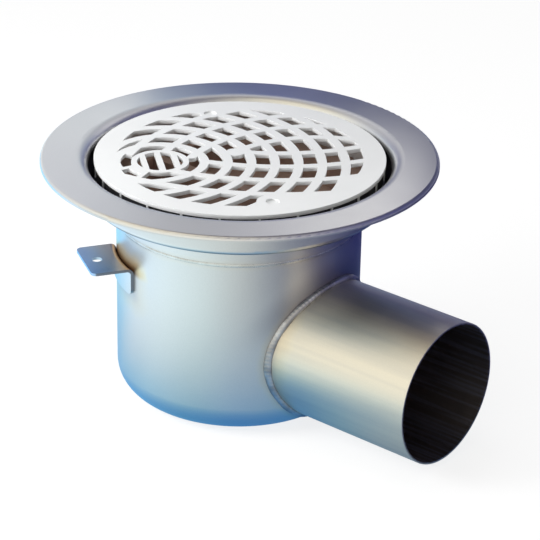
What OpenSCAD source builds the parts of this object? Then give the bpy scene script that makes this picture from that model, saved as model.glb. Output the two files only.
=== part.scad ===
// Floor gully with a side outlet, a removable water trap and a round grating.
// Millimetres. +Z is up, +X runs along the outlet, and the origin is the
// centre of the flat underside of the bowl.

/* [Bowl] */
// Outside radius of the bowl
bowl_r = 64.5; // [63:0.5:68]
// Height of the bowl, up to its seam with the top frame
bowl_h = 98.4; // [95:0.2:110]
// Radius between the bowl's bottom and its wall
bowl_corner = 15.7; // [12:0.1:20]
// Thickness of the steel sheet of the bowl and the top frame
sheet = 1.2; // [0.8:0.1:1.6]

/* [Outlet] */
// Outside diameter of the outlet pipe
outlet_d = 75; // [70:1:80]
// Wall of the outlet pipe
outlet_wall = 1; // [0.8:0.1:1.5]
// Distance from the bowl's axis to the pipe's mouth
outlet_reach = 138; // [125:1:180]
// Height of the pipe's underside over the bowl's underside
outlet_lift = 3.5; // [2.5:0.5:8]
// Leg length of the weld round the pipe
outlet_bead = 1.8; // [1:0.1:2.4]

/* [Top frame] */
// Outside radius of the flange
flange_r = 103.4; // [98:0.2:115]
// Height of the flange's turned-down edge
flange_lip = 2.6; // [2.2:0.1:4]
// Outside radius at the flange's turned-down edge
lip_round = 1.8; // [1.7:0.1:2.2]
// Outside radius of the neck that surrounds the grating
neck_r = 79.6; // [78:0.2:84]
// Radius from the flange's top down into the neck
throat_round = 7; // [4:0.5:9]
// Depth from the flange's top to the ledge that carries the grating
throat_depth = 20.3; // [17:0.1:24]
// Outside radius where the neck turns in to the ledge
neck_corner = 3; // [2:0.1:4]
// Outside radius where the ledge turns down to the skirt
ledge_corner = 3; // [2:0.1:4]
// Height of the skirt between the bowl's seam and the ledge
skirt_h = 12.2; // [12:0.2:20]
// Width of the seam weld between the bowl and the top frame
seam_w = 2.4; // [1.6:0.1:3]
// Height of the seam weld over the wall
seam_proud = 0.35; // [0.2:0.05:0.6]

/* [Fixing lugs] */
// Angle of each lug from the outlet, one on each side
lug_turn = 121; // [105:0.5:150]
// Height of the lug's upper face
lug_z = 82.1; // [70:0.1:90]
// Distance from the bowl's wall to the lug's free edge
lug_out = 19.9; // [16:0.1:24]
// Width of the lug
lug_w = 33; // [28:1:40]
// Thickness of the lug
lug_t = 1.5; // [1:0.1:2]
// Height of the lug's leg, which is welded to the bowl
lug_leg = 15; // [8:0.5:18]
// Inside radius of the lug's bend
lug_bend = 1.8; // [0.6:0.1:2.6]
// Corner radius of the lug
lug_corner = 3; // [1.5:0.5:4]
// Diameter of the lug's screw hole
lug_hole_d = 5.5; // [4:0.5:6.5]
// Distance from the hole's centre to the lug's free edge
lug_hole_edge = 7; // [5.5:0.1:8]

/* [Grating] */
// Gap between the grating and the neck
grate_gap = 2.7; // [2:0.1:5]
// Thickness of the grating's plate
grate_t = 2.1; // [1.8:0.1:4]
// Depth of the grating's face below the flange's top
grate_sink = 1; // [0.4:0.1:2.4]
// Width of the closed rim around the perforated field
grate_rim = 11.7; // [10:0.1:16]
// Angle of the pattern's eye from the outlet
grate_turn = 232.8; // [0:0.2:360]
// Distance from the grating's centre to the pattern's eye
eye_off = 42.1; // [36:0.1:46]
// Radius of the small ring round the eye
eye_ring = 13.4; // [12.5:0.1:14]
// Spacing of the bars inside the small ring
eye_pitch = 8.2; // [7:0.1:9]
// Width of the bars near the eye
eye_bar = 3; // [2.4:0.1:3.4]
// Extra width of the small ring between the two short bars beside it
eye_swell = 3.5; // [2:0.1:5]
// Radius of the first wide ring round the eye
ring_first = 22.8; // [22:0.1:24]
// Step from one wide ring to the next
ring_pitch = 12.15; // [11:0.05:13]
// Width of the wide rings
ring_bar = 4.8; // [4:0.1:5.4]
// How far the rings have drawn in on the ray at swirl_in
swirl_tighten = 5; // [1:0.1:7]
// How far the rings have opened out on the ray at swirl_out
swirl_opens = 10.3; // [6:0.1:12]
// Step between the cross bars below the eye's line
low_pitch = 17.5; // [15:0.1:20]
// Step between the cross bars above the eye's line
high_pitch = 15.6; // [14:0.1:17]
// Width of the cross bars
cross_bar = 4.6; // [4:0.1:5.4]
// Thickness of the ring that carries the plate
leg_ring_t = 1.8; // [1.5:0.1:3]
// Distance from the grating's edge to its ring
leg_ring_inset = 1.4; // [1:0.1:3]
// Number of upright fins round the grating's ring
fin_count = 24; // [16:1:36]
// Angle of the first fin from the outlet
fin_turn = 3; // [0:0.5:15]
// Thickness of a fin
fin_t = 1; // [0.6:0.1:1.4]
// Height of a fin
fin_h = 7; // [4:0.5:10]
// Distance from the plate's edge to the fins' outer edge
fin_inset = 0.3; // [0.2:0.1:0.8]
// Diameter of the two lifting recesses
lift_d = 7; // [5:0.5:8]
// Depth of the lifting recesses
lift_deep = 1.1; // [0.6:0.1:1.4]
// Angle of the lifting recesses from the outlet
lift_turn = -33.8; // [-90:0.2:90]
// Least width of the plate round a lifting recess
lift_land = 2.3; // [1.5:0.1:3]

/* [Water trap] */
// Wall of the moulded trap pieces
trap_wall = 2; // [1.6:0.1:2.6]
// Clearance between the funnel's rim and the grating's ring
rim_gap = 0.3; // [0.2:0.1:1]
// Clearance between the funnel and the skirt
funnel_gap = 0.6; // [0.4:0.1:0.9]
// Depth of the funnel's upright wall below the ledge
funnel_wall_h = 15; // [14:0.5:18]
// Height of the funnel's slope
funnel_slope = 14; // [10:0.5:18]
// Outside radius of the down pipe
down_r = 26; // [22:0.5:28]
// Height of the down pipe's lower end over the bowl's floor
down_lift = 18; // [14:0.5:24]
// Outside radius of the cup
cup_r = 42; // [39:0.5:44]
// Clearance between the cup's bottom and the bowl's floor
cup_lift = 6; // [4:0.5:10]
// Depth of water that the trap holds against the sewer's air
water_seal = 50; // [40:1:55]
// Height of the snap ring on the down pipe
snap_h = 2; // [1.6:0.1:3]
// How far the snap ring stands out
snap_out = 1.2; // [0.8:0.1:1.6]
// Clearance between the cup's ribs and the down pipe
rib_gap = 0.2; // [0.15:0.05:0.3]
// Thickness of the cup's ribs
rib_t = 2; // [1.6:0.1:3]
// Height of the rubber seal
seal_h = 4; // [3:0.5:5]
// Depth of the seal's groove
seal_deep = 1.8; // [1.2:0.1:2.2]
// Height of the seal over the lower end of the funnel's upright wall
seal_up = 4; // [3:0.5:6]
// Width of the grip bar across the funnel
grip_w = 6; // [4:0.5:8]
// Height of the grip bar
grip_h = 9; // [6:0.5:11]

/* [Hidden] */

$fn = 96;
over = 1;           // overshoot of a cutting shape
steel = "#b9bdc2";
bead_steel = "#8f8a80";

outlet_r = outlet_d / 2;
outlet_bore = outlet_r - outlet_wall;
outlet_z = outlet_lift + outlet_r;

bowl_in = bowl_r - sheet;
neck_in = neck_r - sheet;
ledge_z = bowl_h + skirt_h + sheet;
flange_z = ledge_z + throat_depth;

lug_edge = bowl_r + lug_out;

grate_r = neck_in - grate_gap;
grate_z = flange_z - grate_sink - grate_t;
field_r = grate_r - grate_rim;
leg_ring_r = grate_r - leg_ring_inset;
fin_z = grate_z - fin_h;
fin_reach = leg_ring_t / 2 + leg_ring_inset - fin_inset;

// Rays from the eye: where the swirl is measured, and where it ends
swirl_in = 130;
swirl_out = -110;
swirl_end = 196;
join_arc = 2;       // the cross bar that hides the joins of a ring's arcs
join_lap = 0.5;     // overlap of two arcs at their join, in degrees
// The cross bars are arcs about two far points, given from the eye
low_centre = [81.9, 98.5];
high_centre = [77.6, -41.2];
low_first = 101;
high_first = 59.2;
low_sector = [-153, 8.7];
high_sector = [2.7, 142];
// Rays of the two short bars beside the eye, and the turn of the bars in it
eye_spokes = [-164, -128];
eye_tilt = -2.3;
lift_inset = 0.3;   // from a lifting recess to the closed rim
// The lifting recesses lie just inside the closed rim
lift_r = field_r - lift_d / 2 - lift_inset;
lift_angle = lift_turn - grate_turn + 180;
// Round pads of the pattern: angle and distance from the plate's centre, radius
pads = [[lift_angle, lift_r, lift_d / 2 + 2 * lift_land],
        [lift_angle + 180, lift_r, lift_d / 2 + lift_land],
        [-78, 60.2, 6.3], [-67.5, 63.4, 6.4], [-42.3, 63.8, 5.9], [87, 63.2, 5],
        [107, 5.2, 4.8]];

funnel_r = bowl_in - funnel_gap;
rim_r = leg_ring_r - leg_ring_t - rim_gap;
funnel_low = ledge_z - funnel_wall_h;
cone_low = funnel_low - funnel_slope;
seal_z = funnel_low + seal_up;
down_z = sheet + down_lift;
cup_z = sheet + cup_lift;
cup_rim_z = down_z + water_seal;
snap_z = down_z + water_seal / 2;
rib_drop = 6;       // depth of the ribs' upper edge below the cup's rim
rib_angles = [60, 180, 300];

// A quarter of a bent sheet. The bend's centre is c, its inside radius is r,
// and side gives the quarter's direction from the centre.
module bend(c, r, t, side)
    translate(c) intersection() {
        difference() {
            circle(r + t);
            circle(r);
        }
        mirror([side[0] < 0 ? 1 : 0, 0])
            mirror([0, side[1] < 0 ? 1 : 0])
                square(r + t);
    }

// A rectangle given by its lower left and upper right corners
module area(low, high)
    translate(low) square([high[0] - low[0], high[1] - low[1]]);

// Half section of a round pot with a rounded bottom edge
module pot_section(r, h, corner) {
    square([r - corner, h]);
    area([0, corner], [r, h]);
    translate([r - corner, corner]) circle(corner);
}

// The space inside the bowl's outer surface, grown all round by g
module bowl_space(g = 0)
    translate([0, 0, -g])
        rotate_extrude()
            intersection() {
                pot_section(bowl_r + g, bowl_h + g, bowl_corner + g);
                square([bowl_r + g, bowl_h + g]);
            }

// A round bar along the outlet's axis, from x = from to x = to
module outlet_bar(r, from, to)
    translate([from, 0, outlet_z]) rotate([0, 90, 0]) cylinder(r = r, h = to - from);

module bowl() {
    color(steel)
    difference() {
        rotate_extrude()
            intersection() {
                difference() {
                    pot_section(bowl_r, bowl_h, bowl_corner);
                    translate([0, sheet])
                        pot_section(bowl_in, bowl_h, bowl_corner - sheet);
                }
                square([bowl_r, bowl_h]);
            }
        outlet_bar(outlet_bore, 0, bowl_r + over);
    }
}

module top_frame_section() {
    low = ledge_z - sheet;
    top = flange_z - sheet;
    throat_in = throat_round - sheet;
    neck_bend = neck_corner - sheet;
    lip_bend = lip_round - sheet;
    // skirt, and its bend into the ledge
    area([bowl_in, bowl_h], [bowl_r, low - ledge_corner]);
    bend([bowl_r + ledge_corner, low - ledge_corner], ledge_corner, sheet, [-1, 1]);
    // ledge, and its bend into the neck
    area([bowl_r + ledge_corner, low], [neck_r - neck_corner, ledge_z]);
    bend([neck_r - neck_corner, low + neck_corner], neck_bend, sheet, [1, -1]);
    // neck, and its bend into the flange
    area([neck_in, low + neck_corner], [neck_r, top - throat_in]);
    bend([neck_r + throat_in, top - throat_in], throat_in, sheet, [-1, 1]);
    // flange, and its turned-down edge
    area([neck_r + throat_in, top], [flange_r - lip_round, flange_z]);
    bend([flange_r - lip_round, flange_z - lip_round], lip_bend, sheet, [1, 1]);
    area([flange_r - sheet, flange_z - flange_lip], [flange_r, flange_z - lip_round]);
}

module top_frame()
    color(steel) rotate_extrude() top_frame_section();

// A flat bead whose section is a slice of a circle
module frame_weld() {
    bead_r = (seam_w * seam_w / 4 + seam_proud * seam_proud) / (2 * seam_proud);
    color(bead_steel)
    rotate_extrude()
        intersection() {
            translate([bowl_r + seam_proud - bead_r, bowl_h]) circle(bead_r);
            area([bowl_r, bowl_h - seam_w], [bowl_r + seam_w, bowl_h + seam_w]);
        }
}

module outlet_pipe()
    color(steel)
    difference() {
        outlet_bar(outlet_r, 0, outlet_reach);
        outlet_bar(outlet_bore, -over, outlet_reach + over);
        bowl_space();
    }

// The weld fills the corner between the pipe and the bowl
module outlet_weld()
    color(bead_steel)
    difference() {
        intersection() {
            outlet_bar(outlet_r + outlet_bead, 0, bowl_r + 2 * outlet_bead);
            bowl_space(outlet_bead);
        }
        outlet_bar(outlet_r, -over, bowl_r + 3 * outlet_bead);
        bowl_space();
    }

module lug_section() {
    foot = lug_z - lug_leg;
    turn = lug_t + lug_bend;
    area([bowl_r, foot], [bowl_r + lug_t, lug_z - turn]);
    bend([bowl_r + turn, lug_z - turn], lug_bend, lug_t, [-1, 1]);
    area([bowl_r + turn, lug_z - lug_t], [lug_edge + lug_w, lug_z]);
}

// A rectangle of width w from x = 0 to x = l, with two rounded far corners
module tongue(l, w, corner) {
    area([0, -w / 2], [l - corner, w / 2]);
    area([0, corner - w / 2], [l, w / 2 - corner]);
    for (s = [-1, 1])
        translate([l - corner, s * (w / 2 - corner)]) circle(corner);
}

// The lug is a sheet bent along the bowl's curve, and cut square
module fixing_lug(turn)
    color(steel)
    rotate([0, 0, turn])
    difference() {
        intersection() {
            rotate_extrude() lug_section();
            translate([0, 0, lug_z - lug_leg - over])
                linear_extrude(lug_leg + 2 * over)
                    tongue(lug_edge, lug_w, lug_corner);
            translate([0, 0, lug_z + over])
                rotate([0, 90, 0])
                    linear_extrude(lug_edge + over)
                        tongue(lug_leg + over, lug_w, lug_corner);
        }
        translate([lug_edge - lug_hole_edge, 0, lug_z - lug_t - over])
            cylinder(d = lug_hole_d, h = lug_t + 2 * over);
    }

module fixing_lug_near() fixing_lug(-lug_turn);
module fixing_lug_far() fixing_lug(lug_turn);

// A ring of bar width w and middle radius r about the point c
module ring_at(c, r, w)
    translate(c) difference() {
        circle(r + w / 2);
        circle(r - w / 2);
    }

// The wedge from angle a to angle b about the origin, reaching past the plate
module wedge(a, b) {
    step = (b - a) / 4;
    polygon([[0, 0], for (t = [a:step:b + step / 2]) 2 * grate_r * [cos(t), sin(t)]]);
}

// The ray on which a circle about the eye crosses a circle about the point c.
// Their radii are r and reach, and side tells the two crossings apart.
function crossing(r, c, reach, side) =
    atan2(c[1], c[0]) + side * acos((r * r + c * c - reach * reach) / (2 * r * norm(c)));

// The part of a ring between the rays a and b, with the ring moved by d along
// the ray m
module arc_bar(a, b, m, d, r)
    intersection() {
        ring_at(d * [cos(m), sin(m)], r, ring_bar);
        wedge(a, b);
    }

// One turn of the swirl, with the eye at the origin. Three arcs meet smoothly
// beneath two cross bars: the upper one draws in and the lower one opens out.
module swirl_turn(r, tighten, opens) {
    up = crossing(r, high_centre, high_first + join_arc * high_pitch, 1);
    low = crossing(r, low_centre, low_first + join_arc * low_pitch, -1);
    draw = tighten / (1 - cos(swirl_in - up));
    open = opens / (1 - cos(swirl_out - low));
    arc_bar(low - join_lap, tighten == 0 ? swirl_end : up + join_lap, low, 0, r);
    if (tighten > 0)
        arc_bar(up, swirl_end, up, draw, r - draw);
    arc_bar(swirl_end - 360, low, low, -open, r + open);
}

// One family of arcs about the point c, on one side of the eye's line. The arc k
// starts at the middle of the ring whose radius is starts[k].
module cross_arcs(c, first, pitch, sector, starts)
    for (k = [0:len(starts) - 1])
        difference() {
            intersection() {
                ring_at(c, first + k * pitch, cross_bar);
                wedge(sector[0], sector[1]);
            }
            circle(starts[k]);
        }

// The bars inside the small ring, and the short bars around it
module eye_bars() {
    ring_at([0, 0], eye_ring, eye_bar);
    intersection() {
        ring_at([0, 0], eye_ring + eye_swell / 2, eye_bar + eye_swell);
        wedge(eye_spokes[0], eye_spokes[1]);
    }
    for (a = eye_spokes)
        rotate(a) area([eye_ring, -eye_bar / 2], [ring_first + ring_pitch / 2, eye_bar / 2]);
    rotate(eye_tilt)
        intersection() {
            circle(eye_ring);
            for (k = [-1:1])
                area([k * eye_pitch - eye_bar / 2, -eye_ring], [k * eye_pitch + eye_bar / 2, eye_ring]);
        }
}

// The pattern's bars, with the eye on -X: turns of the swirl spread from the
// eye, and two families of arcs cross them, one on each side of the eye's line
module grate_bars() {
    second = ring_first + ring_pitch;
    ring_count = floor((field_r + eye_off - ring_first) / ring_pitch);
    translate([-eye_off, 0]) {
        eye_bars();
        for (k = [0:ring_count])
            swirl_turn(ring_first + k * ring_pitch, k == 0 ? 0 : swirl_tighten,
                       k == 0 ? swirl_opens / 2 : swirl_opens);
        cross_arcs(low_centre, low_first, low_pitch, low_sector,
                   [second, ring_first, eye_ring, eye_ring]);
        cross_arcs(high_centre, high_first, high_pitch, high_sector,
                   [second, eye_ring, eye_ring, eye_ring]);
    }
    // pads that close the corners where a slot would be too small
    for (p = pads)
        rotate(p[0]) translate([p[1], 0]) circle(p[2]);
}

module grating() {
    color("white") {
        difference() {
            translate([0, 0, grate_z])
                linear_extrude(grate_t)
                    difference() {
                        circle(grate_r);
                        difference() {
                            circle(field_r);
                            rotate(grate_turn - 180) grate_bars();
                        }
                    }
            for (a = [0, 180])
                rotate([0, 0, lift_turn + a])
                    translate([lift_r, 0, grate_z + grate_t - lift_deep])
                        cylinder(d = lift_d, h = lift_deep + over);
        }
        // upright ring that stands on the ledge
        translate([0, 0, ledge_z])
            linear_extrude(grate_z - ledge_z)
                ring_at([0, 0], leg_ring_r - leg_ring_t / 2, leg_ring_t);
        for (k = [0:fin_count - 1])
            rotate([0, 0, fin_turn + k * 360 / fin_count])
                translate([leg_ring_r - leg_ring_t / 2, -fin_t / 2, fin_z])
                    cube([fin_reach, fin_t, fin_h]);
    }
}

// Half section of the funnel: rim, upright wall with the seal's groove,
// slope and down pipe
module funnel_section() {
    difference() {
        polygon([
            [down_r - trap_wall, down_z], [down_r, down_z],
            [down_r, cone_low], [funnel_r, funnel_low], [funnel_r, ledge_z],
            [rim_r, ledge_z], [rim_r, ledge_z + trap_wall],
            [funnel_r - 2 * trap_wall, ledge_z + trap_wall],
            [funnel_r - 2 * trap_wall, funnel_low + trap_wall],
            [down_r - trap_wall, cone_low + trap_wall]]);
        area([funnel_r - seal_deep, seal_z], [funnel_r + over, seal_z + seal_h]);
    }
    area([down_r - over / 2, snap_z - snap_h], [down_r + snap_out, snap_z]);
}

module trap_funnel()
    color("#8d7668") {
        rotate_extrude() funnel_section();
        translate([trap_wall - funnel_r, -grip_w / 2, ledge_z + trap_wall - grip_h])
            cube([2 * (funnel_r - trap_wall), grip_w, grip_h]);
    }

module trap_seal()
    color("#2b2b2d")
    rotate_extrude()
        area([funnel_r - seal_deep, seal_z], [bowl_in, seal_z + seal_h]);

// The cup hangs on the down pipe's snap ring by the notches in its ribs
module trap_cup() {
    reach = cup_r - trap_wall;
    color("#8d7668") {
        rotate_extrude()
            difference() {
                area([0, cup_z], [cup_r, cup_rim_z]);
                area([-over, cup_z + trap_wall], [reach, cup_rim_z + over]);
            }
        difference() {
            for (a = rib_angles)
                rotate([0, 0, a])
                    translate([down_r + rib_gap, -rib_t / 2, cup_z + trap_wall / 2])
                        cube([reach + trap_wall / 2 - down_r - rib_gap, rib_t,
                              cup_rim_z - rib_drop - cup_z - trap_wall / 2]);
            translate([0, 0, snap_z - snap_h - rib_gap])
                cylinder(r = down_r + snap_out + rib_gap, h = snap_h + rib_gap);
        }
    }
}

bowl();
top_frame();
frame_weld();
outlet_pipe();
outlet_weld();
fixing_lug_near();
fixing_lug_far();
grating();
trap_funnel();
trap_seal();
trap_cup();
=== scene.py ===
"""Floor gully: the CAD frame dressed with real finishes, weld beads and light."""
import math

import bmesh
import bpy
import numpy as np
from mathutils import Matrix, Vector


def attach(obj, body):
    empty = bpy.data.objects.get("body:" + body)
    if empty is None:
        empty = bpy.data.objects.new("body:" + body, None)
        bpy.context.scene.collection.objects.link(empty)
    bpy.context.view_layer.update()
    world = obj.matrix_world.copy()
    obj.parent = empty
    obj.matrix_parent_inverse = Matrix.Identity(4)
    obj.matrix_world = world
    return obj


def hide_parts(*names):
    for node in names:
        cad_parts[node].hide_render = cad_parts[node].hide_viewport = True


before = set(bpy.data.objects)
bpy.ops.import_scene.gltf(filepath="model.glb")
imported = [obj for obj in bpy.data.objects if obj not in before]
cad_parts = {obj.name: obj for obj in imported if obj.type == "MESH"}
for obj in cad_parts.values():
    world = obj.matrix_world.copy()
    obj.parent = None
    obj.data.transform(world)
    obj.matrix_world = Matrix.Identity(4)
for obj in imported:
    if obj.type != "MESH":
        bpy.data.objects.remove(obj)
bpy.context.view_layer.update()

MM = 0.001

# Sizes of the gully, in millimetres, as the CAD has them
BOWL_R = 64.5
BOWL_CORNER = 15.7
SEAM_Z = 98.4
PIPE_R = 37.5
PIPE_Z = 41.0
LEDGE_Z = 111.8
LUG_TURN = 121.0
LUG_Z = 82.1
LUG_LEG = 15.0
LUG_HALF = 16.5
NECK_IN = 78.4
GRATING_R = 75.7
GRATING_RING_R = 74.3
GRATING_UNDER_Z = 129.0


# --- Camera -----------------------------------------------------------------

CAMERA_AT = Vector((0.7174, -0.8443, 0.5990))
CAMERA_AIM = Vector((0.01286, 0.01060, 0.06556))
CAMERA_ROLL = math.radians(1.16)
CAMERA_LENS = 154.6

view_line = (CAMERA_AIM - CAMERA_AT).normalized()
TO_RIGHT = view_line.cross(Vector((0, 0, 1))).normalized()
TO_CAMERA = Vector((TO_RIGHT.y, -TO_RIGHT.x, 0))


def add_camera():
    """A long lens, aimed at CAMERA_AIM and turned by CAMERA_ROLL about its own line."""
    data = bpy.data.cameras.new("camera")
    data.lens = CAMERA_LENS
    data.sensor_width = 36.0
    data.clip_start, data.clip_end = 0.05, 60.0
    camera = bpy.data.objects.new("camera", data)
    turn = view_line.to_track_quat("-Z", "Y").to_matrix().to_4x4()
    roll = Matrix.Rotation(CAMERA_ROLL, 4, "Z")
    camera.matrix_world = Matrix.Translation(CAMERA_AT) @ turn @ roll
    bpy.context.scene.collection.objects.link(camera)
    bpy.context.scene.camera = camera


add_camera()


# --- Node helpers -----------------------------------------------------------

class Nodes:
    """Short calls for building a node tree."""

    def __init__(self, tree):
        self.tree = tree

    def add(self, kind, **values):
        """A node of that kind. Names with in_ set inputs, the others set properties."""
        node = self.tree.nodes.new(kind)
        for key, value in values.items():
            if not key.startswith("in_"):
                setattr(node, key, value)
        for key, value in values.items():
            if key.startswith("in_"):
                self.feed(value, node, key[3:])
        return node

    def feed(self, value, node, name):
        """Links a socket into the named or numbered input, or sets its value."""
        socket = node.inputs[int(name)] if name.isdigit() else node.inputs[name.replace("_", " ")]
        if isinstance(value, bpy.types.NodeSocket):
            self.tree.links.new(value, socket)
        else:
            socket.default_value = value

    def math(self, operation, a, b=0.0, clamp=False):
        return self.add("ShaderNodeMath", operation=operation, use_clamp=clamp, in_0=a, in_1=b).outputs[0]

    def length(self, *parts):
        """The root of the sum of the parts' squares."""
        total = self.math("MULTIPLY", parts[0], parts[0])
        for part in parts[1:]:
            total = self.math("ADD", total, self.math("MULTIPLY", part, part))
        return self.math("SQRT", total)

    def swing(self, noise, amount):
        """A noise from 0 to 1 turned into swings of that amount about zero."""
        return self.math("MULTIPLY", self.math("SUBTRACT", noise, 0.5), amount)

    def smooth(self, value, low, high, to_low=0.0, to_high=1.0):
        """value from low to high becomes to_low to to_high along a smooth step."""
        node = self.add("ShaderNodeMapRange", interpolation_type="SMOOTHSTEP")
        for index, entry in enumerate((value, low, high, to_low, to_high)):
            self.feed(entry, node, str(index))
        return node.outputs[0]

    def mix(self, amount, a, b, blend="MIX"):
        """Colour a turned into colour b by amount."""
        node = self.add("ShaderNodeMix", data_type="RGBA", blend_type=blend)
        self.feed(amount, node, "0")
        self.feed(a, node, "6")
        self.feed(b, node, "7")
        return node.outputs[2]

    def noise(self, place, scale, detail=2.0, roughness=0.5):
        return self.add("ShaderNodeTexNoise", in_Vector=place, in_Scale=scale,
                        in_Detail=detail, in_Roughness=roughness).outputs[0]

    def stretch(self, place, sx, sy, sz):
        return self.add("ShaderNodeMapping", in_Vector=place, in_Scale=(sx, sy, sz)).outputs[0]

    def ramp(self, value, stops):
        """A colour ramp: stops are (place, (r, g, b))."""
        node = self.add("ShaderNodeValToRGB", in_0=value)
        marks = node.color_ramp.elements
        for index, (place, colour) in enumerate(stops):
            mark = marks[index] if index < 2 else marks.new(place)
            mark.position = place
            mark.color = (*colour, 1.0)
        return node.outputs[0]


def new_group(name, inputs, outputs):
    """A shader node group. inputs and outputs are (name, kind, value)."""
    tree = bpy.data.node_groups.new(name, "ShaderNodeTree")
    for in_out, entries in (("INPUT", inputs), ("OUTPUT", outputs)):
        for label, kind, value in entries:
            socket = tree.interface.new_socket(label, in_out=in_out, socket_type="NodeSocket" + kind)
            if value is not None:
                socket.default_value = value
    make = Nodes(tree)
    start = make.add("NodeGroupInput").outputs
    end = make.add("NodeGroupOutput")
    return make, start, end


def use_group(make, group, **values):
    node = make.add("ShaderNodeGroup", node_tree=bpy.data.node_groups[group])
    for key, value in values.items():
        make.feed(value, node, key)
    return node.outputs


def empty_tree(owner):
    """Clears the node tree of a material or a world, ready to be built."""
    owner.use_nodes = True
    owner.node_tree.nodes.clear()
    return Nodes(owner.node_tree)


def new_material(name):
    material = bpy.data.materials.new(name)
    make = empty_tree(material)
    shader = make.add("ShaderNodeBsdfPrincipled")
    make.add("ShaderNodeOutputMaterial", in_Surface=shader.outputs[0])
    place = make.add("ShaderNodeTexCoord").outputs["Object"]
    return material, make, shader, place


# --- Shared effects ---------------------------------------------------------

def build_blast_group():
    """Blasted and pickled steel: soft clouds, fine pits and small bright or dull spots."""
    make, start, end = new_group(
        "blasted_steel",
        [("Place", "Vector", None), ("Colour", "Color", (0.6, 0.6, 0.6, 1)),
         ("Clouds", "Float", 0.06), ("Roughness", "Float", 0.36)],
        [("Colour", "Color", None), ("Roughness", "Float", None), ("Height", "Float", None)])
    place = start["Place"]
    clouds = make.noise(place, 28.0, 4.0, 0.6)
    grain = make.noise(place, 1500.0, 2.0, 0.7)
    pits = make.noise(place, 4200.0, 1.0)
    shade = make.swing(clouds, start["Clouds"])
    fine = make.swing(grain, 0.14)
    total = make.math("ADD", make.math("ADD", shade, fine), 1.0)
    colour = make.add("ShaderNodeVectorMath", operation="SCALE", in_0=start["Colour"], in_Scale=total)
    rough = make.math("ADD", start["Roughness"], make.swing(clouds, 0.14))
    rough = make.math("ADD", rough, make.swing(grain, 0.16))
    height = make.math("ADD", make.math("MULTIPLY", grain, 0.7), make.math("MULTIPLY", pits, 0.3))
    make.feed(colour.outputs[0], end, "Colour")
    make.feed(rough, end, "Roughness")
    make.feed(height, end, "Height")


def build_tint_group():
    """Heat tint beside a weld: from the hot line outwards dark brown, straw and bare
    steel. Reach is the width in metres, and the edge wanders a little."""
    make, start, end = new_group(
        "heat_tint",
        [("Place", "Vector", None), ("Distance", "Float", 0.0), ("Reach", "Float", 0.006),
         ("Amount", "Float", 1.0), ("Steel", "Color", (0.6, 0.6, 0.6, 1))],
        [("Colour", "Color", None), ("Mask", "Float", None)])
    wander = make.swing(make.noise(start["Place"], 90.0, 3.0), 0.9)
    along = make.math("DIVIDE", start["Distance"], start["Reach"])
    along = make.math("ADD", along, make.math("MULTIPLY", wander, along))
    tint = make.ramp(along, [(0.0, (0.13, 0.075, 0.045)), (0.10, (0.30, 0.19, 0.11)),
                             (0.32, (0.62, 0.48, 0.28)), (0.70, (0.74, 0.65, 0.45)),
                             (1.0, (0.64, 0.62, 0.58))])
    mask = make.math("MULTIPLY", make.smooth(along, 1.0, 0.25), start["Amount"], clamp=True)
    make.feed(make.mix(mask, start["Steel"], tint), end, "Colour")
    make.feed(mask, end, "Mask")


build_blast_group()
build_tint_group()

STEEL = (0.61, 0.61, 0.62, 1.0)


def finish_steel(make, shader, place, colour, bump=0.05, clouds=0.06, roughness=0.36):
    """Puts the blasted grain over a colour and feeds the steel's shader."""
    grain = use_group(make, "blasted_steel", Place=place, Colour=colour, Clouds=clouds, Roughness=roughness)
    make.feed(grain["Colour"], shader, "Base Color")
    make.feed(grain["Roughness"], shader, "Roughness")
    make.feed(1.0, shader, "Metallic")
    height = make.add("ShaderNodeBump", in_Height=grain["Height"], in_Strength=bump, in_Distance=0.0003)
    make.feed(height.outputs[0], shader, "Normal")


def split(make, place):
    return make.add("ShaderNodeSeparateXYZ", in_0=place).outputs


def pipe_distance(make, place):
    """Distance from the outlet pipe's wall, for points on the bowl's outlet side."""
    x, y, z = split(make, place)
    up = make.math("SUBTRACT", z, PIPE_Z * MM)
    radius = make.length(y, up)
    away = make.math("ABSOLUTE", make.math("SUBTRACT", radius, PIPE_R * MM))
    behind = make.smooth(x, 0.02, 0.0, 0.0, 1.0)
    return make.math("ADD", away, behind)


def lug_axes(make, x, y, side):
    """How far a place lies out from the gully's middle towards one side's lug, and how
    far along that lug's bend line from its middle."""
    cos, sin = math.cos(math.radians(side * LUG_TURN)), math.sin(math.radians(side * LUG_TURN))
    out = make.math("ADD", make.math("MULTIPLY", x, cos), make.math("MULTIPLY", y, sin))
    along = make.math("ADD", make.math("MULTIPLY", x, -sin), make.math("MULTIPLY", y, cos))
    return out, along


def lug_distance(make, place, side):
    """Distance on the bowl's wall from the lug's bend line, on one side of the bowl."""
    x, y, z = split(make, place)
    out, along = lug_axes(make, x, y, side)
    past = make.math("MAXIMUM", make.math("SUBTRACT", make.math("ABSOLUTE", along), LUG_HALF * MM), 0.0)
    over = make.math("MAXIMUM", make.math("SUBTRACT", z, (LUG_Z - 3.0) * MM), 0.0)
    under = make.math("MAXIMUM", make.math("SUBTRACT", (LUG_Z - LUG_LEG) * MM, z), 0.0)
    other_side = make.smooth(out, 0.045, 0.02)
    return make.math("ADD", make.length(past, over, under), other_side)


def gap_film(make, place, colour, inside, outside, top, dark):
    """Darkens a colour between two radii, below top and above the ledge, all in millimetres: painted shade in
    the narrow gap round the grating."""
    x, y, z = split(make, place)
    out = make.length(x, y)
    film = make.math("MULTIPLY", make.smooth(out, outside * MM, (outside - 0.3) * MM),
                     make.smooth(z, top * MM, (top - 0.8) * MM))
    film = make.math("MULTIPLY", film, make.smooth(out, inside * MM, (inside + 0.3) * MM))
    film = make.math("MULTIPLY", film, make.smooth(z, (LEDGE_Z - 0.3) * MM, (LEDGE_Z - 0.1) * MM))
    return make.mix(film, colour, dark)


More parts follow.
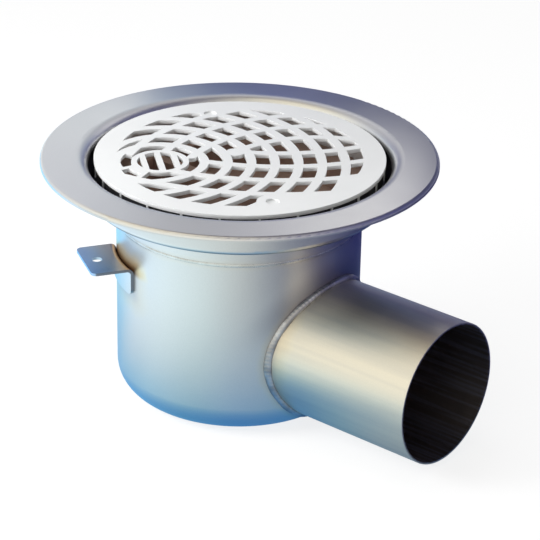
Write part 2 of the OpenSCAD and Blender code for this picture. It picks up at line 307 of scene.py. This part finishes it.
def body_steel(name, roughness, necked=False):
    """Steel of the bowl and the top frame, with heat tint at the welds and the lugs, and painted shade close
    round the top of the pipe's joint. Where it is necked, painted shade also makes a dark line under the neck
    and darkens the gap round the grating."""
    material, make, shader, place = new_material(name)
    x, y, z = split(make, place)
    seam = make.math("ABSOLUTE", make.math("SUBTRACT", z, SEAM_Z * MM))
    colour = use_group(make, "heat_tint", Place=place, Distance=seam, Reach=0.0040,
                       Amount=0.12, Steel=STEEL)["Colour"]
    pipe = pipe_distance(make, place)
    colour = use_group(make, "heat_tint", Place=place, Distance=pipe,
                       Reach=0.0060, Amount=0.35, Steel=colour)["Colour"]
    # Painted shade: close round the pipe's joint the bowl darkens towards dark blue-grey, more so higher up.
    soot = make.math("MULTIPLY", make.smooth(pipe, 0.017, 0.001),
                     make.smooth(z, 0.048, 0.078, 0.0, 0.62))
    colour = make.mix(soot, colour, (0.13, 0.13, 0.19, 1))
    above = make.smooth(z, (LUG_Z - 5.0) * MM, (LUG_Z - 1.5) * MM, 0.25, 0.95)
    for side in (-1, 1):
        colour = use_group(make, "heat_tint", Place=place, Distance=lug_distance(make, place, side),
                           Reach=0.015, Amount=above, Steel=colour)["Colour"]
    if necked:
        # Painted shade: a dark line on the neck's round bottom, outside the bowl's wall and below about the
        # ledge's height.
        low = make.smooth(z, (LEDGE_Z + 0.8) * MM, (LEDGE_Z - 0.5) * MM, 0.0, 0.75)
        outer = make.smooth(make.length(x, y), (BOWL_R + 1.0) * MM, (BOWL_R + 2.0) * MM)
        colour = make.mix(make.math("MULTIPLY", low, outer), colour, (0.17, 0.20, 0.23, 1))
        # Painted shade: the neck's inner wall is darkened in the gap round the grating.
        colour = gap_film(make, place, colour, GRATING_R - 0.2, NECK_IN + 0.4, GRATING_UNDER_Z - 0.5,
                          (0.06, 0.06, 0.07, 1))
    finish_steel(make, shader, place, colour, roughness=roughness)
    return material


def pipe_steel():
    """Drawn tube: the blasted grain with faint lines along the pipe, and the bore painted dark as shade, with
    faint bluish streaks.
    """
    material, make, shader, place = new_material("outlet_pipe_steel")
    x, y, z = split(make, place)
    lines = make.noise(make.stretch(place, 6.0, 260.0, 260.0), 1.0, 3.0)
    colour = make.mix(make.smooth(lines, 0.35, 0.75), (0.69, 0.64, 0.56, 1), (0.63, 0.59, 0.53, 1))
    root = make.math("SUBTRACT", x, 0.0535)
    colour = use_group(make, "heat_tint", Place=place, Distance=root, Reach=0.016,
                       Amount=0.35, Steel=colour)["Colour"]
    # Painted shade: inside the bore the steel is painted dark brown, with faint bluish streaks along it.
    up = make.math("SUBTRACT", z, PIPE_Z * MM)
    radius = make.length(y, up)
    streaks = make.smooth(make.noise(make.stretch(place, 14.0, 420.0, 420.0), 1.0, 2.0), 0.40, 0.65)
    bore = make.mix(streaks, (0.20, 0.17, 0.17, 1), (0.31, 0.30, 0.37, 1))
    colour = make.mix(make.smooth(radius, (PIPE_R - 0.35) * MM, (PIPE_R - 0.65) * MM), colour, bore)
    finish_steel(make, shader, place, colour, roughness=0.42)
    return material


def lug_steel(side):
    """The lug's strip: brown at the bend, through grey to steel blue towards its edge, with painted shade
    along its side edges.
    """
    material, make, shader, place = new_material("lug_steel_near" if side < 0 else "lug_steel_far")
    x, y, z = split(make, place)
    out, along = lug_axes(make, x, y, side)
    wander = make.swing(make.noise(place, 60.0, 3.0), 0.004)
    reach = make.math("DIVIDE", make.math("SUBTRACT", make.math("ADD", out, wander), BOWL_R * MM), 0.018)
    tint = make.ramp(reach, [(0.0, (0.55, 0.42, 0.35)), (0.12, (0.50, 0.43, 0.38)),
                             (0.38, (0.52, 0.50, 0.48)), (0.70, (0.42, 0.50, 0.60)),
                             (1.0, (0.34, 0.46, 0.66))])
    leg = make.smooth(z, (LUG_Z - 2.8) * MM, (LUG_Z - 1.0) * MM)
    colour = make.mix(leg, STEEL, tint)
    # Painted shade: a dark grey line along the lug's side edges.
    sheared = make.smooth(make.math("ABSOLUTE", along), (LUG_HALF - 0.30) * MM, (LUG_HALF - 0.05) * MM,
                          0.0, 0.85)
    colour = make.mix(sheared, colour, (0.19, 0.20, 0.23, 1))
    finish_steel(make, shader, place, colour, roughness=0.32)
    return material


def bead_steel(name, dark, light, roughness):
    """Weld metal: dark and light patches with a soft sheen."""
    material, make, shader, place = new_material(name)
    patches = make.noise(place, 160.0, 3.0)
    colour = make.mix(make.smooth(patches, 0.35, 0.65), dark, light)
    finish_steel(make, shader, place, colour, roughness=roughness, bump=0.03)
    return material


def moulded_plastic(name, light, dark, roughness, coat, gap=False):
    """Moulded plastic: flow clouds, a fine spark-eroded grain and a few dust specks, and with gap also
    painted shade on the outer face of the grating's ring, under the plate."""
    material, make, shader, place = new_material(name)
    clouds = make.noise(place, 22.0, 3.0)
    colour = make.mix(make.smooth(clouds, 0.3, 0.7), light, dark)
    specks = make.add("ShaderNodeTexVoronoi", in_Vector=place, in_Scale=70.0)
    speck = make.smooth(specks.outputs["Distance"], 0.045, 0.03)
    chance = make.add("ShaderNodeSeparateColor", in_0=specks.outputs["Color"]).outputs[0]
    dust = make.math("MULTIPLY", make.math("MULTIPLY", speck, make.smooth(chance, 0.93, 0.95)), 0.5)
    colour = make.mix(dust, colour, (0.16, 0.13, 0.11, 1))
    if gap:
        # Painted shade: the ring's outer face under the plate is darkened.
        colour = gap_film(make, place, colour, GRATING_RING_R - 0.9, GRATING_RING_R + 0.5, GRATING_UNDER_Z,
                          (0.045, 0.045, 0.05, 1))
    make.feed(colour, shader, "Base Color")
    make.feed(make.smooth(make.noise(place, 320.0, 2.0), 0.2, 0.8, roughness - 0.05, roughness + 0.07),
              shader, "Roughness")
    make.feed(coat, shader, "Coat Weight")
    grain = make.noise(place, 2600.0, 2.0)
    bump = make.add("ShaderNodeBump", in_Height=grain, in_Strength=0.04, in_Distance=0.0002)
    make.feed(bump.outputs[0], shader, "Normal")
    return material


def seal_rubber():
    """Black rubber with a dusty bloom."""
    material, make, shader, place = new_material("black_rubber")
    bloom = make.smooth(make.noise(place, 120.0, 4.0), 0.45, 0.8)
    make.feed(make.mix(bloom, (0.020, 0.020, 0.021, 1), (0.060, 0.058, 0.056, 1)), shader, "Base Color")
    make.feed(make.smooth(bloom, 0.0, 1.0, 0.55, 0.8), shader, "Roughness")
    bump = make.add("ShaderNodeBump", in_Height=make.noise(place, 1800.0, 2.0), in_Strength=0.1,
                    in_Distance=0.0002)
    make.feed(bump.outputs[0], shader, "Normal")
    return material


# --- Meshes -----------------------------------------------------------------

def tube_mesh(name, rings):
    """A closed ring-shaped surface from an array rings[path, profile, xyz] in
    millimetres. Both directions close on themselves."""
    n, m = rings.shape[:2]
    i, j = np.meshgrid(np.arange(n), np.arange(m), indexing="ij")
    i2, j2 = (i + 1) % n, (j + 1) % m
    quads = np.stack([i * m + j, i2 * m + j, i2 * m + j2, i * m + j2], axis=-1).reshape(-1, 4)
    points = rings.reshape(-1, 3) * MM
    a, b, c = points[quads[:, 0]], points[quads[:, 1]], points[quads[:, 2]]
    if np.einsum("ij,ij->", a, np.cross(b, c)) < 0:
        quads = quads[:, ::-1]
    mesh = bpy.data.meshes.new(name)
    mesh.from_pydata(points.tolist(), [], quads.tolist())
    mesh.polygons.foreach_set("use_smooth", np.ones(len(quads), dtype=bool))
    mesh.update()
    return mesh


def add_object(name, mesh):
    thing = bpy.data.objects.new(name, mesh)
    bpy.context.scene.collection.objects.link(thing)
    return thing


def add_piece(name, mesh, material, replaced):
    piece = add_object(name, mesh)
    mesh.materials.append(material)
    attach(piece, "root")
    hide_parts(replaced)


def outlet_weld_mesh(width=2.3, pitch=2.1):
    """Fillet bead round the pipe. At the angle t round the pipe the corner point is
    where the pipe meets the bowl. The profile swings from the bowl's wall to the
    pipe's wall, and its width rises and falls once every pitch, in bowed ripples."""
    t = np.linspace(0.0, 2 * math.pi, 721)[:-1]
    out = np.stack([np.zeros_like(t), np.sin(t), np.cos(t)], axis=1)
    y = PIPE_R * np.sin(t)
    z = PIPE_Z + PIPE_R * np.cos(t)
    low = np.clip(BOWL_CORNER - z, 0.0, BOWL_CORNER)
    wall = BOWL_R - BOWL_CORNER + np.sqrt(BOWL_CORNER ** 2 - low ** 2)
    x = np.sqrt(wall ** 2 - y ** 2)
    corner = np.stack([x, y, z], axis=1)
    normal = np.stack([x / wall, y / wall, -low / np.sqrt(BOWL_CORNER ** 2 - low ** 2)], axis=1)
    normal /= np.linalg.norm(normal, axis=1, keepdims=True)
    along_bowl = out - (out * normal).sum(axis=1, keepdims=True) * normal
    along_bowl /= np.linalg.norm(along_bowl, axis=1, keepdims=True)
    along_pipe = np.array([1.0, 0.0, 0.0])
    step = np.linalg.norm(np.roll(corner, -1, axis=0) - corner, axis=1)
    total = step.sum()
    run = np.concatenate([[0.0], np.cumsum(step)[:-1]])
    ripples = round(total / pitch)
    swing = np.linspace(0.0, math.pi / 2, 15)
    phase = 2 * math.pi * ripples * run[:, None] / total - 1.5 * np.sin(2 * swing)[None, :]
    ripple = 0.5 + 0.5 * np.cos(phase)
    wobble = 1 + 0.05 * np.sin(7 * t) + 0.03 * np.sin(19 * t + 1.0)
    size = width * wobble[:, None] * (0.965 + 0.035 * ripple)
    bulge = 1.0 + 0.10 * np.sin(2 * swing)[None, :]
    face = corner[:, None, :] + (size * bulge * np.cos(swing) ** 0.85)[..., None] * along_bowl[:, None, :]
    face = face + (size * bulge * np.sin(swing) ** 0.85)[..., None] * along_pipe
    root = corner - 0.35 * out - 0.35 * normal
    rings = np.concatenate([face, root[:, None, :]], axis=1)
    return tube_mesh("outlet_weld_bead", rings)


def seam_weld_mesh(width=1.7, proud=0.15, pitch=1.7):
    """Flat bead round the bowl at the seam: the profile is half an ellipse of that
    width and height, and the height rises and falls a little every pitch."""
    count = 1440
    t = np.linspace(0.0, 2 * math.pi, count + 1)[:-1]
    swing = np.linspace(-math.pi / 2, math.pi / 2, 9)
    ripples = round(2 * math.pi * BOWL_R / pitch)
    ripple = 0.5 + 0.5 * np.cos(ripples * t[:, None] - 1.2 * np.cos(swing)[None, :])
    lift = BOWL_R + proud * np.cos(swing)[None, :] * (0.96 + 0.04 * ripple)
    height = SEAM_Z + 0.5 * width * np.sin(swing)[None, :] * (1 + 0.06 * np.sin(11 * t)[:, None])
    face = np.stack([lift * np.cos(t)[:, None], lift * np.sin(t)[:, None], height], axis=-1)
    inner = BOWL_R - 0.3
    root = np.stack([inner * np.cos(t), inner * np.sin(t), np.full_like(t, SEAM_Z)], axis=-1)
    return tube_mesh("frame_weld_bead", np.concatenate([face, root[:, None, :]], axis=1))


def softened_copy(node, name, width, material):
    """A merged copy of a CAD node whose sharp edges get a small round."""
    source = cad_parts[node]
    mesh = source.data.copy()
    piece = add_object(name, mesh)
    piece.matrix_world = source.matrix_world
    work = bmesh.new()
    work.from_mesh(mesh)
    bmesh.ops.remove_doubles(work, verts=work.verts, dist=2e-6)
    bmesh.ops.dissolve_limit(work, angle_limit=math.radians(0.5), verts=work.verts, edges=work.edges)
    work.to_mesh(mesh)
    work.free()
    mesh.materials.clear()
    mesh.materials.append(material)
    round_edge = piece.modifiers.new("rounded edge", "BEVEL")
    round_edge.width = width
    round_edge.segments = 2
    round_edge.limit_method = "ANGLE"
    round_edge.angle_limit = math.radians(40)
    round_edge.harden_normals = True
    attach(piece, "root")
    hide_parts(node)


# --- The gully --------------------------------------------------------------

def paint(node, material):
    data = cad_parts[node].data
    data.materials.clear()
    data.materials.append(material)


paint("bowl", body_steel("bowl_steel", 0.36))
paint("top_frame", body_steel("top_frame_steel", 0.34, necked=True))
paint("outlet_pipe", pipe_steel())
paint("fixing_lug_near", lug_steel(-1))
paint("fixing_lug_far", lug_steel(1))
white = moulded_plastic("white_grating_plastic", (0.86, 0.87, 0.87, 1), (0.82, 0.83, 0.83, 1), 0.42, 0.1,
                        gap=True)
brown = moulded_plastic("brown_trap_plastic", (0.42, 0.29, 0.23, 1), (0.35, 0.24, 0.19, 1), 0.45, 0.0)
paint("grating", white)
paint("trap_funnel", brown)
paint("trap_cup", brown)
paint("trap_seal", seal_rubber())

add_piece("outlet_weld_bead", outlet_weld_mesh(),
          bead_steel("outlet_bead_steel", (0.33, 0.32, 0.33, 1), (0.50, 0.50, 0.52, 1), 0.42),
          "outlet_weld")
add_piece("frame_weld_bead", seam_weld_mesh(),
          bead_steel("seam_bead_steel", (0.54, 0.53, 0.51, 1), (0.62, 0.62, 0.61, 1), 0.30),
          "frame_weld")
softened_copy("grating", "grating_softened", 0.00035, white)


# --- Stage ------------------------------------------------------------------

def stage_place(right, toward, up):
    """A point given from the gully's middle as metres to the right, to the camera and up."""
    return TO_RIGHT * right + TO_CAMERA * toward + Vector((0, 0, up))


def add_floor():
    """A pale floor that stays white for the camera and keeps the soft shadow."""
    mesh = bpy.data.meshes.new("floor")
    far = 14.0
    mesh.from_pydata([(-far, -far, 0), (far, -far, 0), (far, far, 0), (-far, far, 0)], [], [(0, 1, 2, 3)])
    floor = add_object("floor", mesh)
    floor.location = (0, 0, -0.0003)
    material = bpy.data.materials.new("pale_floor")
    make = empty_tree(material)
    ray = make.add("ShaderNodeLightPath").outputs
    seen = make.math("MAXIMUM", make.math("MAXIMUM", ray["Is Camera Ray"], ray["Is Glossy Ray"]),
                     ray["Is Transmission Ray"])
    matt = make.add("ShaderNodeBsdfDiffuse", in_Color=(0.9, 0.9, 0.9, 1))
    glow = make.add("ShaderNodeEmission", in_Color=(1, 1, 1, 1), in_Strength=1.15)
    both = make.add("ShaderNodeMixShader", in_0=make.math("MULTIPLY", seen, 0.7),
                    in_1=matt.outputs[0], in_2=glow.outputs[0])
    make.add("ShaderNodeOutputMaterial", in_Surface=both.outputs[0])
    mesh.materials.append(material)


def measured_along(make, place, direction):
    node = make.add("ShaderNodeVectorMath", operation="DOT_PRODUCT", in_0=place, in_1=tuple(direction))
    return node.outputs["Value"]


def heading(make, place):
    """Where a place or a direction lies round the gully: 0.5 is toward the camera,
    0.25 is to its left, 0.75 to its right, and 0 and 1 are straight behind."""
    turn = make.math("ARCTAN2", measured_along(make, place, TO_RIGHT), measured_along(make, place, TO_CAMERA))
    return make.math("ADD", make.math("DIVIDE", turn, 2 * math.pi), 0.5)


def add_world():
    """Even light from all round, white where it is seen. Metal mirrors the studio's
    walls: dark slate straight behind, a narrow bright cream band at the back left,
    cream at the left and in front, and dark blue at the right. The ceiling is cream
    at the left and dark elsewhere."""
    world = bpy.data.worlds.new("studio")
    bpy.context.scene.world = world
    make = empty_tree(world)
    ray = make.add("ShaderNodeLightPath").outputs
    seen = make.math("MAXIMUM", ray["Is Camera Ray"], ray["Is Transmission Ray"])
    way = make.add("ShaderNodeTexCoord").outputs["Generated"]
    turn = heading(make, way)
    up = split(make, way)[2]
    walls = make.ramp(turn, [
        (0.0, (0.08, 0.09, 0.20)), (0.03, (0.10, 0.11, 0.22)), (0.055, (1.25, 1.20, 1.06)),
        (0.11, (1.10, 1.08, 0.96)), (0.16, (0.80, 0.79, 0.76)), (0.25, (0.94, 0.93, 0.82)),
        (0.38, (0.94, 0.93, 0.82)), (0.5, (0.92, 0.90, 0.80)), (0.60, (0.50, 0.49, 0.50)),
        (0.70, (0.12, 0.12, 0.24)), (0.80, (0.05, 0.05, 0.17)), (1.0, (0.08, 0.09, 0.20))])
    ceiling = make.ramp(turn, [
        (0.0, (0.09, 0.08, 0.10)), (0.16, (0.36, 0.31, 0.26)), (0.27, (1.02, 0.94, 0.72)),
        (0.5, (0.60, 0.57, 0.50)), (0.7, (0.08, 0.08, 0.14)), (1.0, (0.09, 0.08, 0.10))])
    mirrored = make.mix(make.smooth(up, 0.60, 0.90), walls, ceiling)
    soft = make.add("ShaderNodeBackground", in_Color=(1, 1, 1, 1), in_Strength=0.40)
    studio = make.add("ShaderNodeBackground", in_Color=mirrored, in_Strength=1.5)
    plain = make.add("ShaderNodeBackground", in_Color=(1, 1, 1, 1), in_Strength=1.0)
    shiny = make.add("ShaderNodeMixShader", in_0=ray["Is Glossy Ray"], in_1=soft.outputs[0],
                     in_2=studio.outputs[0])
    both = make.add("ShaderNodeMixShader", in_0=seen, in_1=shiny.outputs[0], in_2=plain.outputs[0])
    make.add("ShaderNodeOutputWorld", in_Surface=both.outputs[0])


def add_softbox(name, place, size, power):
    """An area lamp aimed at the gully's middle. Metal mirrors the studio instead of it."""
    lamp = bpy.data.lights.new(name, "AREA")
    lamp.shape = "DISK"
    lamp.size = size
    lamp.energy = power
    box = add_object(name, lamp)
    aim = Vector((0, 0, 0.08))
    box.location = place
    box.rotation_mode = "QUATERNION"
    box.rotation_quaternion = (aim - place).to_track_quat("-Z", "Y")
    box.visible_glossy = False


def disc_mesh(name, radius, height):
    """A flat disc of 96 corners: (radius cos t, radius sin t, height)."""
    t = np.linspace(0, 2 * math.pi, 97)[:-1]
    points = np.stack([radius * np.cos(t), radius * np.sin(t), np.full_like(t, height)], axis=1)
    mesh = bpy.data.meshes.new(name)
    mesh.from_pydata(points.tolist(), [], [tuple(range(96))])
    return mesh


def add_back_board(behind=0.15, low=-0.35, high=0.45, foot_z=0.157, top=0.36):
    """An upright board behind the gully that only the metal mirrors. The flange's far
    side mirrors the board's foot and its near side the part above: slate blue low at
    the right, pale at the left, and lighter again high up."""
    outline = ((low, foot_z), (high, foot_z), (high, top), (low, top))
    corners = [stage_place(right, -behind, up) for right, up in outline]
    mesh = bpy.data.meshes.new("back_board")
    mesh.from_pydata([tuple(corner) for corner in corners], [], [(0, 1, 2, 3)])
    board = add_object("back_board", mesh)
    material = bpy.data.materials.new("back_board")
    make = empty_tree(material)
    place = make.add("ShaderNodeTexCoord").outputs["Object"]
    across = make.math("ADD", make.math("DIVIDE", measured_along(make, place, TO_RIGHT), 0.24), 0.5)
    foot = make.ramp(across, [
        (0.08, (1.10, 1.15, 1.15)), (0.21, (1.30, 1.36, 1.36)), (0.30, (0.60, 0.72, 0.85)),
        (0.42, (0.24, 0.33, 0.54)), (0.56, (0.18, 0.22, 0.46)), (0.75, (0.12, 0.14, 0.26)),
        (0.95, (0.10, 0.11, 0.20))])
    head = make.ramp(across, [
        (0.08, (1.00, 1.02, 1.08)), (0.17, (0.84, 0.88, 0.95)), (0.29, (0.72, 0.72, 0.74)),
        (0.38, (0.67, 0.67, 0.67)), (0.52, (0.78, 0.77, 0.80)), (0.66, (1.08, 1.08, 1.08)),
        (0.80, (1.50, 1.49, 1.45)), (0.91, (1.50, 1.49, 1.50)), (1.00, (0.07, 0.07, 0.17))])
    colour = make.mix(make.smooth(split(make, place)[2], 0.186, 0.216), foot, head)
    glow = make.add("ShaderNodeEmission", in_Color=colour, in_Strength=1.0)
    make.add("ShaderNodeOutputMaterial", in_Surface=glow.outputs[0])
    mesh.materials.append(material)
    mirror_only(board)


def mirror_only(card):
    """Hides a card from everything but mirrored rays."""
    card.visible_camera = False
    card.visible_diffuse = False
    card.visible_transmission = False
    card.visible_shadow = False
    card.visible_volume_scatter = False


def add_floor_card(radius=1.6, height=0.0004, strength=2.7):
    """The floor as the metal mirrors it, a glowing card: blue close to the gully and darkening towards its
    middle as painted shade, and further out pale blue at the left, warm grey in front and dark blue at the
    right."""
    mesh = disc_mesh("floor_card", radius, height)
    card = add_object("floor_card", mesh)
    material = bpy.data.materials.new("floor_card")
    make = empty_tree(material)
    place = make.add("ShaderNodeTexCoord").outputs["Object"]
    turn = heading(make, place)
    x, y = split(make, place)[:2]
    out = make.length(x, y)
    # Painted shade: the mirrored floor darkens towards the gully's middle.
    near = make.ramp(make.math("DIVIDE", out, 0.25), [
        (0.0, (0.05, 0.175, 0.375)), (0.26, (0.075, 0.238, 0.50)), (0.36, (0.175, 0.363, 0.55)),
        (0.46, (0.288, 0.425, 0.563)), (0.76, (0.488, 0.575, 0.60)), (1.0, (0.55, 0.588, 0.575))])
    side = make.ramp(turn, [
        (0.0, (0.24, 0.24, 0.29)), (0.17, (0.38, 0.65, 0.74)), (0.24, (0.99, 0.86, 0.76)),
        (0.33, (0.98, 0.88, 0.75)), (0.42, (0.65, 0.65, 0.56)), (0.5, (0.46, 0.485, 0.50)),
        (0.58, (0.45, 0.45, 0.44)), (0.64, (0.13, 0.16, 0.21)), (0.8, (0.05, 0.07, 0.16)),
        (1.0, (0.24, 0.24, 0.29))])
    near = make.mix(1.0, near, side, "MULTIPLY")
    far = make.ramp(turn, [
        (0.0, (0.20, 0.28, 0.40)), (0.10, (0.15, 0.44, 0.683)), (0.17, (0.26, 0.48, 0.678)),
        (0.236, (0.443, 0.571, 0.679)), (0.336, (0.496, 0.617, 0.657)), (0.422, (0.441, 0.532, 0.541)),
        (0.5, (0.302, 0.325, 0.311)), (0.578, (0.130, 0.142, 0.165)), (0.633, (0.070, 0.082, 0.125)),
        (0.694, (0.041, 0.047, 0.096)), (0.764, (0.006, 0.007, 0.045)), (0.858, (0.003, 0.003, 0.045)),
        (0.917, (0.005, 0.006, 0.06)), (1.0, (0.20, 0.28, 0.40))])
    cream = make.math("MULTIPLY", make.smooth(out, 0.27, 0.40), make.smooth(turn, 0.58, 0.45))
    cream = make.math("MULTIPLY", cream, make.smooth(turn, 0.20, 0.30))
    far = make.mix(cream, far, (0.34, 0.355, 0.335, 1))
    near_glow = make.add("ShaderNodeEmission", in_Color=near, in_Strength=strength)
    far_glow = make.add("ShaderNodeEmission", in_Color=far, in_Strength=strength)
    both = make.add("ShaderNodeMixShader", in_0=make.smooth(out, 0.11, 0.25), in_1=near_glow.outputs[0],
                    in_2=far_glow.outputs[0])
    make.add("ShaderNodeOutputMaterial", in_Surface=both.outputs[0])
    mesh.materials.append(material)
    mirror_only(card)


add_world()
add_floor()
add_softbox("softbox_left", stage_place(-0.52, 0.16, 0.36), 0.35, 3.25)
add_softbox("softbox_top", stage_place(-0.2, -0.1, 1.5), 1.0, 5.3)
add_floor_card()
add_back_board()

scene = bpy.context.scene
scene.view_settings.view_transform = "Standard"
